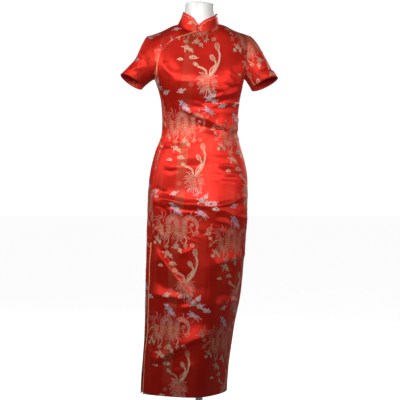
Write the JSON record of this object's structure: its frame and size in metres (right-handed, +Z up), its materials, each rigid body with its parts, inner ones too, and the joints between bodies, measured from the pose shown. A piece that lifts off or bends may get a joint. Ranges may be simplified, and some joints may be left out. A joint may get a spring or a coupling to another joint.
{
  "type": "cheongsam dress on dress form",
  "caption": "Long fitted cheongsam dress with a stand collar, curved front opening, short sleeves and side slits, worn by a limbless dress form on a pole stand.",
  "frame": {"origin": "middle of the stand base's flat underside, on the floor", "axes": "+Z up along the pole, the front of the dress faces -Y, +X to the wearer's left"},
  "size_m": [0.544, 0.32, 1.4676],
  "materials": {
    "brocade": "red satin brocade with woven dragon, phoenix, cloud and blossom motifs in peach, silver and sage thread",
    "piping": "salmon satin piping cord",
    "knot_cord": "rolled plain red satin cord",
    "form_plastic": "smooth white gloss moulding",
    "stand_steel": "satin steel"
  },
  "bodies": {
    "root": {"front_panel": "brocade", "under_flap": "brocade", "back_panel": "brocade", "sleeve_right": "brocade", "sleeve_left": "brocade", "collar": "brocade", "collar_piping": "piping", "opening_piping": "piping", "slit_piping_right": "piping", "slit_piping_left": "piping", "collar_knot": "knot_cord", "collar_tail": "knot_cord", "opening_knot": "knot_cord", "opening_loop": "knot_cord", "opening_tail": "knot_cord", "form_torso": "form_plastic", "stand_flange": "stand_steel", "stand_pole": "stand_steel", "stand_base": "stand_steel"}
  },
  "joints": []
}
